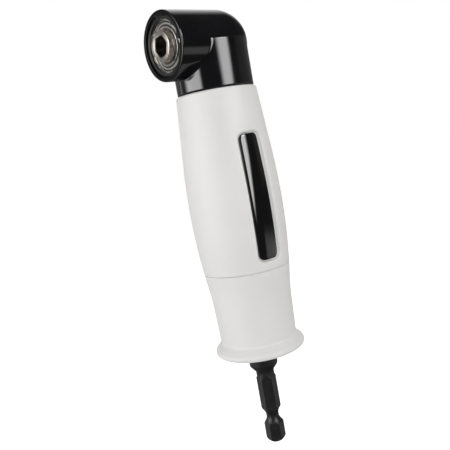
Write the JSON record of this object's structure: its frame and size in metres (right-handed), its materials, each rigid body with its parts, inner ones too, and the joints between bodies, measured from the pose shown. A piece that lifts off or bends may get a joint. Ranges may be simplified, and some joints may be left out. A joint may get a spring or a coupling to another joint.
{
  "type": "right angle drill attachment",
  "caption": "Hand-held right angle drill attachment: a hex shank drives a long shaft and bevel gears in the head, which turn a magnetic hex bit socket at 90 degrees.",
  "frame": {"origin": "centre of the drive shank's end face, on the axis of the handle", "axes": "+Z from the shank's end face up along the handle to the head, -Y out of the bit socket along the output axis, +X the side of the grip that has the black panel"},
  "size_m": [0.0331, 0.0362, 0.1572],
  "materials": {
    "gloss_black": "gloss black coating on cast metal",
    "grip_plastic": "satin light grey moulded plastic",
    "panel_plastic": "gloss black, slightly domed",
    "black_oxide": "matte black oxide on machined steel",
    "spindle_steel": "turned steel",
    "bearing_steel": "ground bearing steel",
    "shield_steel": "pressed steel sheet",
    "dark_steel": "phosphated spring steel",
    "gear_steel": "hardened and ground",
    "tube_steel": "drawn steel",
    "ball_steel": "polished",
    "cage_brass": "stamped",
    "bronze": "sintered bronze",
    "magnet": "nickel plated",
    "seal_rubber": "matte"
  },
  "bodies": {
    "housing": {"head_housing": "gloss_black", "front_circlip": "dark_steel", "front_bearing_outer": "bearing_steel", "front_bearing_shields": "shield_steel", "rear_bush": "bronze", "thrust_washer": "bronze", "neck_bearing_outer": "bearing_steel", "neck_bearing_shields": "shield_steel", "neck_circlip": "dark_steel", "handle_tube": "tube_steel", "spigot_pins": "tube_steel", "grip_sleeve": "grip_plastic", "panel_inlay": "panel_plastic", "end_guard": "grip_plastic", "tail_bearing_outer": "bearing_steel", "tail_bearing_shields": "shield_steel", "tail_circlip": "dark_steel", "wave_washer": "shield_steel", "tail_seal": "seal_rubber"},
    "input": {"drive_shaft": "black_oxide", "input_pinion": "gear_steel", "pinion_pin": "tube_steel", "shaft_circlip": "dark_steel", "neck_bearing_inner": "bearing_steel", "tail_bearing_inner": "bearing_steel"},
    "output": {"output_spindle": "spindle_steel", "socket_magnet": "magnet", "output_gear": "gear_steel", "gear_key": "gear_steel", "front_bearing_inner": "bearing_steel"},
    "front_rolling": {"front_bearing_balls": "ball_steel", "front_bearing_cage": "cage_brass"},
    "neck_rolling": {"neck_bearing_balls": "ball_steel", "neck_bearing_cage": "cage_brass"},
    "tail_rolling": {"tail_bearing_balls": "ball_steel", "tail_bearing_cage": "cage_brass"}
  },
  "joints": [
    {"name": "input_spin", "type": "hinge", "parent": "housing", "child": "input", "pos_m": [0, 0, 0], "axis": [0, 0, 1], "continuous": true},
    {"name": "output_spin", "type": "hinge", "parent": "housing", "child": "output", "pos_m": [0, 0, 0.1458], "axis": [0, -1, 0], "continuous": true},
    {"name": "front_cage_spin", "type": "hinge", "parent": "housing", "child": "front_rolling", "pos_m": [0, 0, 0.1458], "axis": [0, -1, 0], "continuous": true},
    {"name": "neck_cage_spin", "type": "hinge", "parent": "housing", "child": "neck_rolling", "pos_m": [0, 0, 0], "axis": [0, 0, 1], "continuous": true},
    {"name": "tail_cage_spin", "type": "hinge", "parent": "housing", "child": "tail_rolling", "pos_m": [0, 0, 0], "axis": [0, 0, 1], "continuous": true}
  ],
  "couplings": [
    {"joint": "output_spin", "follows": "input_spin", "ratio": 0.63158},
    {"joint": "front_cage_spin", "follows": "input_spin", "ratio": 0.26394},
    {"joint": "neck_cage_spin", "follows": "input_spin", "ratio": 0.38246},
    {"joint": "tail_cage_spin", "follows": "input_spin", "ratio": 0.3677}
  ]
}
